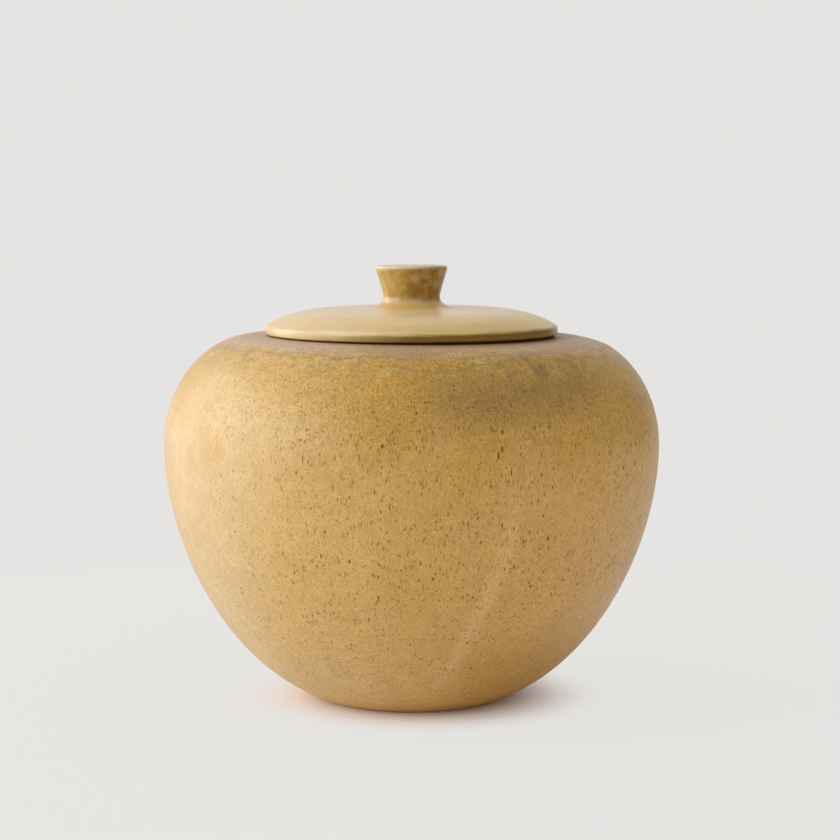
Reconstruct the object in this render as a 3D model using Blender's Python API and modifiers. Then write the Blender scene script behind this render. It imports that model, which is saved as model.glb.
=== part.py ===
"""Lidded stoneware jar.

A thrown, full-bellied body on a turned foot ring, a shallow-domed lid whose flange drops into the mouth,
and a flared knob that is luted to a raised seat on the lid. Every piece is turned round the Z axis. Lengths
are in metres, +Z is up, and the origin is on the axis, in the plane that the foot ring stands on.
"""

import math

import bpy
import numpy as np

# Body, outside
BELLY_RADIUS = 0.125
BELLY_HEIGHT = 0.1293
SHOULDER_HEIGHT = 0.1829
FOOT_RADIUS = 0.0457
FOOT_ANGLE = 19.25  # degrees above the table at which the wall leaves the foot
FOOT_RING_WIDTH = 0.007
FOOT_RECESS = 0.003

# How far each curve's handle reaches, as a share of the distance that the curve spans that way
FOOT_PULL_SHARE = 0.66
BELLY_DROP_SHARE = 0.377
BELLY_RISE_SHARE = 0.54
SHOULDER_PULL_SHARE = 0.545

# Body, inside
WALL = 0.006
FLOOR = 0.008
FLOOR_ROUND = 0.006

# Mouth: a low collar round the bore, whose flat land carries the lid
MOUTH_RADIUS = 0.062
MOUTH_ROUND = 0.002
COLLAR_WIDTH = 0.006
COLLAR_RISE = 0.0013
APRON_RISE = 0.0006  # how much of that the shoulder has climbed before it meets the collar

# Lid
LID_OVERHANG = 0.0057  # past the collar
SHOULDER_MARGIN = 0.0071  # level ring of shoulder that shows round the lid
LID_EDGE = 0.0045
LID_BAND = 0.002
LID_EDGE_ROUND = 0.0014
RIDGE_INSET = 0.0005
RIDGE_ANGLE = 31.4  # degrees below level at which the dome reaches the ridge
DOME_RISE = 0.0084
LID_WALL = 0.0055
FLANGE_DEPTH = 0.011
FLANGE_WALL = 0.005
FLANGE_TAPER = 0.001
SEAT_RISE = 0.0023
SEAT_FILLET = 0.009
FILLET_ANGLE = 38  # degrees below level at which the knob's flare runs on into the fillet
DOME_PULL_SHARE = 0.293
RIDGE_PULL_SHARE = 0.378
FILLET_START_SHARE = 0.3
FILLET_END_SHARE = 0.4
HOLLOW_PULL_SHARE = 0.6

# Knob
KNOB_HEIGHT = 0.0188
KNOB_RADIUS = 0.0181
KNOB_NECK_RADIUS = 0.0143
KNOB_NECK_HEIGHT = 0.0035
KNOB_FOOT_RADIUS = 0.016
KNOB_LIP_ROUND = 0.0014
KNOB_LIP_TUCK = -20  # degrees round the lip's arc at which it turns in to the cone
KNOB_DISH = 0.0005
NECK_PULL_SHARE = 0.125
FLARE_START_SHARE = 0.46
FLARE_END_SHARE = 0.34

# Clearances
SEAT_GAP = 0.0003  # lid above the collar's land
LUTE_GAP = 0.0003  # knob above its seat
FLANGE_CLEARANCE = 0.0012  # flange inside the bore

# Steps round the axis, and points along the curves
STEPS = 64
KNOB_STEPS = 40
WALL_POINTS = 14
INNER_POINTS = 9
ROUND_POINTS = 5
MERGE = 0.00001

# Places that follow from the sizes above
COLLAR_RADIUS = MOUTH_RADIUS + COLLAR_WIDTH
LID_RADIUS = COLLAR_RADIUS + LID_OVERHANG
SHOULDER_RADIUS = LID_RADIUS + SHOULDER_MARGIN
LAND_HEIGHT = SHOULDER_HEIGHT + COLLAR_RISE
LID_HEIGHT = LAND_HEIGHT + SEAT_GAP
FLANGE_RADIUS = MOUTH_RADIUS - FLANGE_CLEARANCE
CROWN = LID_EDGE + DOME_RISE
SEAT_HEIGHT = CROWN + SEAT_RISE

# Colours as linear RGB, and roughness
BODY_GLAZE = ((0.510, 0.319, 0.112, 1.0), 0.42)
LID_GLAZE = ((0.604, 0.423, 0.187, 1.0), 0.30)
KNOB_GLAZE = ((0.402, 0.246, 0.067, 1.0), 0.30)


def bezier(start, start_handle, end_handle, end, count):
    """Points of a cubic curve from start to end, which leaves and arrives along its two handles."""
    t = np.linspace(0, 1, count)[:, None]
    corners = [np.array(corner) for corner in (start, start_handle, end_handle, end)]
    return sum(math.comb(3, i) * t**i * (1 - t) ** (3 - i) * corner for i, corner in enumerate(corners))


def arc(centre, radius, first, last, count):
    """Points of an arc from one angle to another, in degrees, with 0 outwards and 90 up."""
    angle = np.radians(np.linspace(first, last, count))[:, None]
    return np.array(centre) + radius * np.hstack([np.cos(angle), np.sin(angle)])


def downhill(angle):
    """The direction that points away from the axis and falls by an angle in degrees."""
    slope = math.radians(angle)
    return np.array([math.cos(slope), -math.sin(slope)])


def outer_wall(count):
    """The outside of the body, from the level shoulder out to the belly and down to the foot."""
    shoulder_pull = SHOULDER_PULL_SHARE * (BELLY_RADIUS - SHOULDER_RADIUS)
    belly_rise = BELLY_RISE_SHARE * (SHOULDER_HEIGHT - BELLY_HEIGHT)
    belly_drop = BELLY_DROP_SHARE * BELLY_HEIGHT
    foot_pull = FOOT_PULL_SHARE * (BELLY_RADIUS - FOOT_RADIUS)
    shoulder = bezier(
        (SHOULDER_RADIUS, SHOULDER_HEIGHT),
        (SHOULDER_RADIUS + shoulder_pull, SHOULDER_HEIGHT),
        (BELLY_RADIUS, BELLY_HEIGHT + belly_rise),
        (BELLY_RADIUS, BELLY_HEIGHT),
        count,
    )
    flank = bezier(
        (BELLY_RADIUS, BELLY_HEIGHT),
        (BELLY_RADIUS, BELLY_HEIGHT - belly_drop),
        np.array([FOOT_RADIUS, 0]) + foot_pull * downhill(-FOOT_ANGLE),
        (FOOT_RADIUS, 0),
        count,
    )
    return np.vstack([shoulder, flank[1:]])


def inner_wall(count):
    """The inside of the body, a wall in from the outside and rounded into the floor, from bottom to top."""
    outside = outer_wall(count)
    along = np.gradient(outside, axis=0)
    along /= np.linalg.norm(along, axis=1)[:, None]
    inwards = np.stack([along[:, 1], -along[:, 0]], axis=1)
    radius, height = (outside + WALL * inwards).T
    floor = FOOT_RECESS + FLOOR
    height = (height + floor + np.hypot(height - floor, FLOOR_ROUND)) / 2
    return np.stack([radius, height], axis=1)[::-1]


def mouth():
    """The neck's lower edge, the bore, the collar's land and the apron that runs out to the shoulder."""
    underside = SHOULDER_HEIGHT - WALL
    collar_edge = COLLAR_RISE - APRON_RISE
    neck = arc((MOUTH_RADIUS + MOUTH_ROUND, underside + MOUTH_ROUND), MOUTH_ROUND, 270, 180, ROUND_POINTS)
    lip = arc((MOUTH_RADIUS + MOUTH_ROUND, LAND_HEIGHT - MOUTH_ROUND), MOUTH_ROUND, 180, 90, ROUND_POINTS)
    edge = arc((COLLAR_RADIUS - collar_edge, LAND_HEIGHT - collar_edge), collar_edge, 90, 0, ROUND_POINTS)
    share = np.linspace(1, 0, ROUND_POINTS)[1:-1]
    apron_radius = SHOULDER_RADIUS - share * (SHOULDER_RADIUS - COLLAR_RADIUS)
    apron = np.stack([apron_radius, SHOULDER_HEIGHT + APRON_RISE * share**2], axis=1)
    return np.vstack([neck, lip, edge, apron])


def foot():
    """The flat foot ring and the recess inside it, in to the axis."""
    ring_inside = FOOT_RADIUS - FOOT_RING_WIDTH
    return np.array([(ring_inside, 0), (ring_inside - FOOT_RECESS, FOOT_RECESS), (0, FOOT_RECESS)])


def body_outline():
    """The body's section: up the inside, over the mouth, down the outside and in under the foot."""
    floor_centre = np.array([(0, FOOT_RECESS + FLOOR)])
    return np.vstack([floor_centre, inner_wall(INNER_POINTS), mouth(), outer_wall(WALL_POINTS), foot()])


def lid_top():
    """The seat, its fillet, the dome, the ridge and the band, at heights above the lid's underside."""
    fillet_end = KNOB_FOOT_RADIUS + SEAT_FILLET
    ridge_radius = LID_RADIUS - RIDGE_INSET
    dome_span = ridge_radius - fillet_end
    outwards = downhill(RIDGE_ANGLE)
    ridge = np.array([ridge_radius, LID_EDGE])
    seat_edge = np.array([KNOB_FOOT_RADIUS, SEAT_HEIGHT])
    fillet = bezier(
        seat_edge,
        seat_edge + FILLET_START_SHARE * SEAT_FILLET * downhill(FILLET_ANGLE),
        (fillet_end - FILLET_END_SHARE * SEAT_FILLET, CROWN),
        (fillet_end, CROWN),
        ROUND_POINTS,
    )
    dome = bezier(
        (fillet_end, CROWN),
        (fillet_end + DOME_PULL_SHARE * dome_span, CROWN),
        ridge - RIDGE_PULL_SHARE * dome_span * outwards,
        ridge,
        WALL_POINTS,
    )
    band = bezier(
        ridge,
        ridge + RIDGE_INSET * outwards,
        (LID_RADIUS, LID_BAND + RIDGE_INSET),
        (LID_RADIUS, LID_BAND),
        ROUND_POINTS,
    )
    edge = arc((LID_RADIUS - LID_EDGE_ROUND, LID_EDGE_ROUND), LID_EDGE_ROUND, 0, -90, ROUND_POINTS)
    return np.vstack([[(0, SEAT_HEIGHT)], fillet, dome[1:], band[1:], edge])


def lid_underside():
    """The flat that rests on the collar, the flange, and the hollow inside it, in to the axis."""
    tip_round = FLANGE_WALL / 2
    inside = FLANGE_RADIUS - FLANGE_WALL
    tip_centre = (FLANGE_RADIUS - FLANGE_TAPER - tip_round, tip_round - FLANGE_DEPTH)
    flange_tip = arc(tip_centre, tip_round, 0, -180, ROUND_POINTS)
    hollow_height = CROWN - LID_WALL
    hollow = bezier(
        (inside, 0),
        (inside, HOLLOW_PULL_SHARE * hollow_height),
        ((1 - HOLLOW_PULL_SHARE) * inside, hollow_height),
        (0, hollow_height),
        INNER_POINTS,
    )
    return np.vstack([[(FLANGE_RADIUS, 0)], flange_tip, hollow])


def lid_outline():
    """The lid's section: out over the top and back along the underside."""
    return np.vstack([lid_top(), lid_underside()])


def knob_outline():
    """The dished top, rounded lip, cone, neck and flare; heights are above the knob's own foot."""
    lip_centre = (KNOB_RADIUS - KNOB_LIP_ROUND, KNOB_HEIGHT - KNOB_LIP_ROUND)
    lip = arc(lip_centre, KNOB_LIP_ROUND, 90, KNOB_LIP_TUCK, ROUND_POINTS)
    lip_end = lip[-1]
    neck = np.array([KNOB_NECK_RADIUS, KNOB_NECK_HEIGHT])
    foot_edge = np.array([KNOB_FOOT_RADIUS, 0])
    above_neck = np.array([0, NECK_PULL_SHARE * (lip_end[1] - KNOB_NECK_HEIGHT)])
    below_neck = np.array([0, FLARE_START_SHARE * KNOB_NECK_HEIGHT])
    uphill = -FLARE_END_SHARE * KNOB_NECK_HEIGHT * downhill(FILLET_ANGLE)
    cone = bezier(lip_end, lip_end, neck + above_neck, neck, ROUND_POINTS)
    flare = bezier(neck, neck - below_neck, foot_edge + uphill, foot_edge, ROUND_POINTS)
    dish = [(0, KNOB_HEIGHT - KNOB_DISH)]
    return np.vstack([dish, lip, cone[1:], flare[1:], [(0, 0)]])


def glaze(name, look):
    """A plain glazed material with the given colour and roughness."""
    colour, roughness = look
    material = bpy.data.materials.new(name)
    material.use_nodes = True
    shader = material.node_tree.nodes["Principled BSDF"]
    shader.inputs["Base Color"].default_value = colour
    shader.inputs["Roughness"].default_value = roughness
    shader.inputs["Metallic"].default_value = 0
    material.diffuse_color = colour
    return material


def turned(name, outline, steps, material, collection):
    """A solid turned round Z from an outline of (radius, height) points that runs down its outer side."""
    mesh = bpy.data.meshes.new(name)
    corners = [(radius, 0, height) for radius, height in outline]
    edges = [(i, i + 1) for i in range(len(corners) - 1)]
    mesh.from_pydata(corners, edges, [])
    mesh.materials.append(material)
    solid = bpy.data.objects.new(name, mesh)
    collection.objects.link(solid)
    screw = solid.modifiers.new("turn", "SCREW")
    screw.axis = "Z"
    screw.angle = math.tau
    screw.steps = steps
    screw.render_steps = steps
    screw.use_merge_vertices = True
    screw.merge_threshold = MERGE
    screw.use_smooth_shade = True
    return solid


def build():
    for item in list(bpy.data.objects):
        bpy.data.objects.remove(item)
    collection = bpy.data.collections.new("lidded_jar")
    bpy.context.scene.collection.children.link(collection)

    turned("jar_body", body_outline(), STEPS, glaze("body_glaze", BODY_GLAZE), collection)

    lid_lift = bpy.data.objects.new("lid_lift", None)
    collection.objects.link(lid_lift)
    lid_lift.location = (0, 0, LID_HEIGHT)

    lid = turned("lid", lid_outline(), STEPS, glaze("lid_glaze", LID_GLAZE), collection)
    lid.parent = lid_lift

    knob = turned("lid_knob", knob_outline(), KNOB_STEPS, glaze("knob_glaze", KNOB_GLAZE), collection)
    knob.parent = lid
    knob.location = (0, 0, SEAT_HEIGHT + LUTE_GAP)


build()
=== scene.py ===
"""The looks of a lidded stoneware jar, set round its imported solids.

The body is thrown and wears a satin ochre glaze that iron in the clay has speckled; the lid and its knob
wear a glossier straw glaze. Each of the three pieces is one surface turned round the Z axis, finer than its
solid. Lengths are in metres, +Z is up, and the jar stands on its foot ring at the origin. Glaze patterns
are in millimetres on the piece, with +X at the photograph's right and -Y towards its camera.
"""

import math
from types import SimpleNamespace

import bpy
import numpy as np
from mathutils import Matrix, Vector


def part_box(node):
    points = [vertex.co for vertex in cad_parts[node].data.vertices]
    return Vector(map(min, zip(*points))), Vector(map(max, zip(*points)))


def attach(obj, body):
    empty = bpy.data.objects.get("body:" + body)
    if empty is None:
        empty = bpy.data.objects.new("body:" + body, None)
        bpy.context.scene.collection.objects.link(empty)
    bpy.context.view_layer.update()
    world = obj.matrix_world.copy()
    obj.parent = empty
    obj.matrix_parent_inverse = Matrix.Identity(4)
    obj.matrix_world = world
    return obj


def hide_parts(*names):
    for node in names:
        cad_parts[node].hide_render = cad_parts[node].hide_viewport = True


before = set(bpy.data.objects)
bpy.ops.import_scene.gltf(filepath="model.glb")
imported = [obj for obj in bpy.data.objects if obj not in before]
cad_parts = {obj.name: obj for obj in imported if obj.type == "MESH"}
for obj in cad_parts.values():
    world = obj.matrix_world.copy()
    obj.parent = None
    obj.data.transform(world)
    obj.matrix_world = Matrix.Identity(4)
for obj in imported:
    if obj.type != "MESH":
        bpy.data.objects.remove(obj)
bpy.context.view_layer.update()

MM = 0.001

# Sizes that the solids give
BODY_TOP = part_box("jar_body")[1]
LID_LOW, LID_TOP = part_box("lid")
KNOB_LOW, KNOB_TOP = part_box("lid_knob")
BELLY_RADIUS = BODY_TOP.x
LAND_HEIGHT = BODY_TOP.z
LID_RADIUS = LID_TOP.x
SEAT_HEIGHT = LID_TOP.z
KNOB_RADIUS = KNOB_TOP.x
KNOB_HEIGHT = KNOB_TOP.z

# Body
BELLY_HEIGHT = 0.1293
FOOT_RADIUS = 0.0457
FOOT_ANGLE = 19.25  # degrees above the table at which the wall leaves the foot
FOOT_RING_WIDTH = 0.007
FOOT_RECESS = 0.003
FOOT_ROUND = 0.0006
FOOT_PULL_SHARE = 0.66
BELLY_DROP_SHARE = 0.377
BELLY_RISE_SHARE = 0.54
SHOULDER_PULL_SHARE = 0.545
WALL = 0.006
FLOOR = 0.008
FLOOR_ROUND = 0.006

# Mouth
MOUTH_RADIUS = 0.062
MOUTH_ROUND = 0.002
COLLAR_WIDTH = 0.006
COLLAR_RISE = 0.0003
APRON_RISE = 0.0001
SHOULDER_MARGIN = 0.0071
SHOULDER_RADIUS = LID_RADIUS + SHOULDER_MARGIN
COLLAR_RADIUS = MOUTH_RADIUS + COLLAR_WIDTH
SHOULDER_HEIGHT = LAND_HEIGHT - COLLAR_RISE

# Lid
SEAT_RISE = 0.0023
DOME_RISE = 0.0082
LID_EDGE = 0.0047
LID_BAND = 0.002
LID_EDGE_ROUND = 0.0009
RIDGE_INSET = 0.0011
RIDGE_ANGLE = 31.4  # degrees below level at which the dome reaches the ridge
SEAT_FILLET = 0.009
FILLET_ANGLE = 38  # degrees below level at which the knob's flare runs on into the fillet
DOME_PULL_SHARE = 0.293
RIDGE_PULL_SHARE = 0.378
FILLET_START_SHARE = 0.3
FILLET_END_SHARE = 0.4
HOLLOW_PULL_SHARE = 0.6
LID_WALL = 0.0055
FLANGE_WALL = 0.005
FLANGE_TAPER = 0.001
FLANGE_CLEARANCE = 0.0012
FLANGE_RADIUS = MOUTH_RADIUS - FLANGE_CLEARANCE
CROWN_HEIGHT = SEAT_HEIGHT - SEAT_RISE
RIDGE_HEIGHT = CROWN_HEIGHT - DOME_RISE
LID_HEIGHT = RIDGE_HEIGHT - LID_EDGE

# Knob
KNOB_NECK_RADIUS = 0.0143
KNOB_NECK_HEIGHT = 0.0035
KNOB_FOOT_RADIUS = 0.016
KNOB_LIP_ROUND = 0.0014
KNOB_LIP_TUCK = -20  # degrees round the lip's arc at which it turns in to the cone
KNOB_DISH = 0.0005
KNOB_DISH_PULL = 0.0042
NECK_PULL_SHARE = 0.125
FLARE_START_SHARE = 0.46
FLARE_END_SHARE = 0.34
JOINT_HEIGHT = (SEAT_HEIGHT + KNOB_LOW.z) / 2  # where the glaze of lid and knob runs together
JOINT_DEPTH = 0.0003

# Marks that hands and tools left, each at most this deep
THROWING_PITCH = 0.0075
THROWING_DEPTH = 0.0004
THROWING_START = 0.018  # below the shoulder, from where the rings have their full depth
RIPPLE_PITCH = 0.012
RIPPLE_DEPTH = 0.00006
RIPPLE_SWAY = 0.2  # of a ripple, up and down once round the belly
OVAL_DEPTH = 0.00015
LEAN_DEPTH = 0.001  # by which the shoulder is lower at +X than at -X
TOOL_PITCH = 0.004
TOOL_DEPTH = 0.00012
DOME_RING_PITCH = 0.0041
DOME_RING_DEPTH = 0.000015
DENT_DEPTH = 0.0003
DENT_WIDTH = 0.0014
DENT_TURN = -0.416  # of a turn round from +X
CREASE_DEPTH = 0.00012
CREASE_WIDTH = 0.00018
CONE_RING_PITCH = 0.0026
CONE_RING_DEPTH = 0.00002

# Steps round the axis and along the curves
BODY_TURNS = 240
LID_TURNS = 256
KNOB_TURNS = 192
WALL_STEPS = 56
FLANK_STEPS = 84
FLOOR_STEPS = 32
DOME_STEPS = 84
ROUND_STEPS = 9
CURVE_STEPS = 18
FILLET_STEPS = 27
CONE_STEPS = 54
SHARP_ANGLE = 40  # degrees

# Glaze colours
OCHRE = "BC902E"
TAN = "BF9443"
DEEP_OCHRE = "9A742A"
MAUVE = "926A45"
MAUVE_PALE = "AE865A"
PAINTED_CROWN_SHEEN = "CFB096"
MOSS = "C2A65C"
UMBER = "96703A"
FOOT_OLIVE = "C8963A"
PALE_RUN = "D6B67C"
# painted sheen: paler and greyer colours laid over the front left, where the window's sheen falls
PAINTED_SHEEN_PALE = "E2BF80"
PAINTED_SHEEN_GREY = "E8D3B2"
CURL = "7E5A2C"
SMUDGE = "7C5A38"
# painted shade under the lid's edge
PAINTED_LID_SHADE = "46290E"
IRON = "583208"
RUST = "784606"
FRECKLE = "94641A"
BLOOM = "9C6846"
STRAW = "D0B486"
STRAW_WARM = "D2B28A"
STRAW_GREEN = "C0A258"
STRAW_THIN = "CFBC98"
RIDGE_BREAK_HIGHLIGHT = "E2D0A8"
OLIVE = "7A5C10"
KNOB_OCHRE = "BE9C50"
KNOB_DARK = "805A16"
CLAY = "B4936A"
GROG = "8E6B46"
LINER = "C7A468"
WHITE = "FFFFFF"

# Glazes and clay in general
GLAZE_IOR = 1.5
IRON_GLAZE_IOR = 1.6
SATIN_ROUGHNESS = 0.6
GLOSS_ROUGHNESS = 0.28
LINER_ROUGHNESS = 0.25
CLAY_ROUGHNESS = 0.85
SKIN_DEPTH = 0.00002
GRIT_DEPTH = 0.00005
NOISE_MIDDLE = 0.5
PLAIN_DETAIL = 1  # octaves of finer noise that each detail adds
SOFT_DETAIL = 2
FINE_DETAIL = 3
RICH_DETAIL = 4
RAGGED_DETAIL = 5
NOISE_SPAN = (0.3, 0.7)  # from the lowest to the highest that a noise mostly reaches
DOT_SPAN = (1.2, 0.65)  # of a dot's radius, from its soft edge in to its full colour
DOT_RARITY = 2  # the power that makes large dots rarer than small ones
DOT_FADE = (0, 1, 0.35, 1)
SMEAR_END_SHARE = 1.3
SMEAR_FULL_SHARE = 0.6

# The patterns below are in millimetres on the piece. A span gives where a change starts and where it is
# full, and a fade gives a span and the strengths at its two ends. A tone has a size and a swing, dots have
# a spacing and their least and greatest radius, and a smear has two ends, half its width and its strength.
# A place's fall is its distance from the axis less its height, so it grows outwards and downwards.

# Speckled glaze: the places that its patterns read
BODY_RING_SHARE = 0.07
CLOUD_SIZE = 38
CLOUD_SHIFT = 22
SQUAT_SHARES = (1, 1, 2)
TALL_SHARES = (1, 1, 0.7)
FRAY_SIZE = 1.1
FRAY_REACH = (0.9, 0.9, 1.4)
SPECK_STRETCH = 2.6
LONG_SPECK_STRETCH = 6
SHORT_SPECK_FADE = (150, 190, 0, 18)  # up the shoulder, where specks are drawn out less
SLANT_SHARE = -0.55  # of the height, by which the edge of the calmer flank leans
BACK_SHIFT = 70
BACK_SPAN = (-60, 10)
# the dull glaze at the right of the foot, which painted shade also darkens
DULL_SHADE_HEIGHT_SPAN = (60, 15)
DULL_SHADE_SIDE_SPAN = (-5, 55)

# Speckled glaze: the ochre of the belly and the foot
TAN_SPAN = (158, 112)
# painted sheen at the front left: first the paler colour, then the greyer one
PAINTED_SHEEN_SHARE = 0.22
PAINTED_SHEEN_SPAN = (5, -50)
PAINTED_SHEEN_EDGE_SPAN = (-110, -60)
PAINTED_SHEEN_GREY_SHARE = 0.3
PAINTED_SHEEN_GREY_SPAN = (-50, -100)
PAINTED_SHEEN_GREY_HEIGHT_SPAN = (162, 126)
PAINTED_SHEEN_GREY_FRONT_SPAN = (10, -60)
# a deeper ochre patch by the right shoulder: partly the glaze, partly painted shade
DEEP_AND_SHADED_SMEAR = ((5, -112, 158), (88, -72, 167), 20, 0.75)
FOOT_OLIVE_SHARE = 0.7
FOOT_SPAN = (30, 2)
# painted shade at the right of the foot
PAINTED_FOOT_SHADE_SHARE = 0.5
RUN_SMEAR = ((50, -112, 112), (13, -80, 20), 7, 0.34)

# Speckled glaze: the thin crown and what gathers below it
DRIP_SIZE = 22
DRIP_REACH = 4
GATHERED_SPAN = (-50, -74)
MOSS_SIZE = 9
MOSS_SPAN = (0.45, 0.85)
MOSS_SHARE = 0.5
UMBER_SIZE = 7
UMBER_SPAN = (0.6, 0.15)
UMBER_SHARE = 0.45
STREAK_SIZE = 2.2
# painted sheen on the thin crown glaze at the left
CROWN_SHEEN_SPAN = (0, -75)
CROWN_SHEEN_SHARE = 0.6
CROWN_EDGE_SPAN = (-79, -84)
CROWN_SPAN = (-79, -98)
CROWN_SHARE = 0.7
CROWN_STREAK_SIZE = 3
CROWN_STREAK_SHARE = 0.3
DRIP_LINE_FALL = -81
DRIP_LINE_SPAN = (2, 0)
DRIP_LINE_SHARE = 0.5
# painted shade: a dark ring just inside the lid's edge, weaker at the left
LID_SHADE_INNER_SPAN = (-115, -112.5)  # of the fall, as is the next, just inside the lid's edge
LID_SHADE_OUTER_SPAN = (-110, -111)
LID_SHADE_SHARE = 0.65
LID_SHADE_FADE = (-65, -5, 0.15, 1)
SMUDGE_SMEARS = (
    ((50, -81, 180), (61, -91, 168), 3, 0.6),
    ((61, -85, 177), (62.5, -90, 169), 3, 0.6),
)

# Speckled glaze: its tones, grain and specks
CLOUD_TONE = (24, 0.03)
PATCH_TONE = (6, 0.05)
FLECK_TONE = (2, 0.05)
GRAIN_SIZE = 0.7
GRAIN_SWING = 0.16
CALM_FADE = (-170, -100, 0.4, 1)
LIVELY_FADE = (-60, -85, 1, 2.2)
CURL_SIZE = 2.2
CURL_SPAN = (0.05, 0)
CURL_HEIGHT_SPAN = (115, 165)
CURL_SHARE = 0.6
CROWD_SIZE = 9
SPARSE_SHARE = 0.78
DENSE_SHARE = 1.2
SPARSE_TOP_FADE = (-90, -35, 0.65, 1)
SPARSE_FLANK_FADE = (-170, -100, 0.6, 1)
FAINT_FOOT_FADE = (20, 100, 0.72, 0.92)
FAINT_FLANK_FADE = (-110, -45, 0.65, 1)
BLOOM_DOTS = (4.5, 0.4, 1.2)
FRECKLE_DOTS = (1.1, 0.2, 0.45)
RUST_DOTS = (1.4, 0.2, 0.51)
IRON_DOTS = (2.2, 0.2, 0.56)
LONG_DOTS = (2.0, 0.18, 0.42)
BLOOM_SHARE = 0.4
FRECKLE_SHARE = 0.35
RUST_SHARE = 0.82
COAT_ROUGHNESS = 0.34
COAT_DRY_FADE = (0, 1, 0.52, 0.2)
COAT_WORN_FADE = (-92, -108, 1, 0.35)
BODY_SKIN_SIZE = 2.2

# Straw glaze: the lid, with heights measured from its ridge
LID_RING_SHARE = 0.06
STRAW_CLOUD_SIZE = 22
RIDGE_WAVER_SIZE = 0.7
RIDGE_WAVER = 0.5
# the pale ridge line: partly glaze broken over it, mostly a painted highlight, strongest at the left
RIDGE_HIGHLIGHT_TOP_SPAN = (0.7, 0)
RIDGE_HIGHLIGHT_FOOT_SPAN = (-1.7, -0.9)
RIDGE_HIGHLIGHT_LEFT_SPAN = (-50, -36)
RIDGE_HIGHLIGHT_FADE = (-34, 0, 0.6, 0.12)
# greener and more olive towards the right, as painted shade
GREEN_SPAN = (44, 72)
GREEN_FADE = (-60, 60, 0.3, 0.9)
BAND_DROP_FADE = (-20, 60, 0, 1.6)
BAND_SPAN = (-0.6, -3)
BAND_FADE = (-52, -2, 0.1, 0.97)
RING_TONE = (1.4, 0.04)
BAND_TONE = (0.5, 0.04)
STRAW_TONE = (8, 0.04)
STRAW_DOTS = (5, 0.1, 0.5)
STRAW_DOT_SHARE = 0.6
LID_SKIN_SIZE = 3

# Straw glaze: the knob, with heights measured from its joint or from its lip
BLOTCH_SIZE = 4
BLOTCH_LEAST_SHARE = 0.1
BLOTCH_MOST_SHARE = 0.8
# painted shade: the knob's blotches darker towards the right
KNOB_SHADE_FADE = (-12, 10, -0.2, 0.35)
POOL_SPAN = (-1.35, 3.65)
CORNER_FOOT_SPAN = (-2.45, -1.45)
CORNER_TOP_SPAN = (0.95, -0.25)
CORNER_SHARE = 0.85
KNOB_SMEAR = ((-1, -15, 211), (3, -15, 203), 6, 0.7)
# the pale lip: partly glaze thinned over it, partly painted highlight, strongest at the left
LIP_SPAN = (-2, -0.6)
LIP_HIGHLIGHT_FADE = (-10, 14, 0.85, 0.25)

# Liner and bare clay
LINER_TONE = (18, 0.05)
LINER_DOTS = (4, 0.1, 0.5)
LINER_DOT_SHARE = 0.6
CLAY_CLOUD_SIZE = 9
CLAY_CLOUD_SHARE = 0.5
GROG_DOTS = (1.2, 0.1, 0.4)
GRIT_SIZE = 0.4

# Camera
CAMERA_DISTANCE = 1.2119
CAMERA_HEIGHT = 0.25989
CAMERA_PITCH = 5.624  # degrees below level
LENS = 102.9  # mm
VIEW_SHIFT = 0.00998

# Studio, with spans in metres
BACKDROP = "E5E4E2"
FLOOR_COLOUR = "F0E5E0"
FLOOR_SIZE = 6.0
FADE_SPAN = (1.2, 2.8)
SHADE_SHIFT = 0.003
SHADE_SPAN = (0.044, 0.095)
SHADE_LIFT_SHARE = 0.93
LEVEL_SPAN = (0.095, 0.5)
GLOW_SIDE_SPAN = (0.08, -0.09)
GLOW_NEAR_SPAN = (0.035, 0.07)
FILL_LIGHT = 0.84
ROOM_LIGHT = 0.08
AWAY_FROM_ROOM = (-0.5, 1, 0)
ROOM_SPAN = (0.2, 0.8)  # of that direction in a ray's own, from the room to the backdrop
WINDOW_TURN = 178  # degrees round from +X
WINDOW_RISE = 14  # degrees above level
WINDOW_DISTANCE = 1.8
WINDOW_WIDTH = 3.2
WINDOW_HEIGHT = 1.9
WINDOW_POWER = 52  # watts


def bezier(start, start_handle, end_handle, end, count):
    """A cubic curve: the four corners weighted by the terms of (t + (1 - t)) cubed, for t from 0 to 1."""
    t = np.linspace(0, 1, count)[:, None]
    corners = [np.array(corner) for corner in (start, start_handle, end_handle, end)]
    return sum(math.comb(3, i) * t**i * (1 - t) ** (3 - i) * corner for i, corner in enumerate(corners))


def arc(centre, radius, first, last, count=ROUND_STEPS):
    """The centre plus the radius times (cos, sin) of angles from first to last, in degrees, 0 outwards."""
    angle = np.radians(np.linspace(first, last, count))[:, None]
    return np.array(centre) + radius * np.hstack([np.cos(angle), np.sin(angle)])


def line(start, end, count):
    """Points spread evenly from start to end: the start plus t times the difference, for t from 0 to 1."""
    t = np.linspace(0, 1, count)[:, None]
    return np.array(start) + t * (np.array(end) - np.array(start))


def downhill(angle):
    """The direction that points away from the axis and falls by an angle in degrees."""
    slope = math.radians(angle)
    return np.array([math.cos(slope), -math.sin(slope)])


def ease(value, low, high):
    """0 below low and 1 above high; between them three squares less two cubes of the share of the way."""
    share = np.clip((value - low) / (high - low), 0, 1)
    return share * share * (3 - 2 * share)


def wave(turns):
    """0 at each whole number of turns and 1 half-way between: half of one less the cosine."""
    return (1 - np.cos(math.tau * turns)) / 2


def bump(distance, width):
    """1 at no distance, falling off as a bell curve of the given width."""
    return np.exp(-((distance / width) ** 2) / 2)


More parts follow.
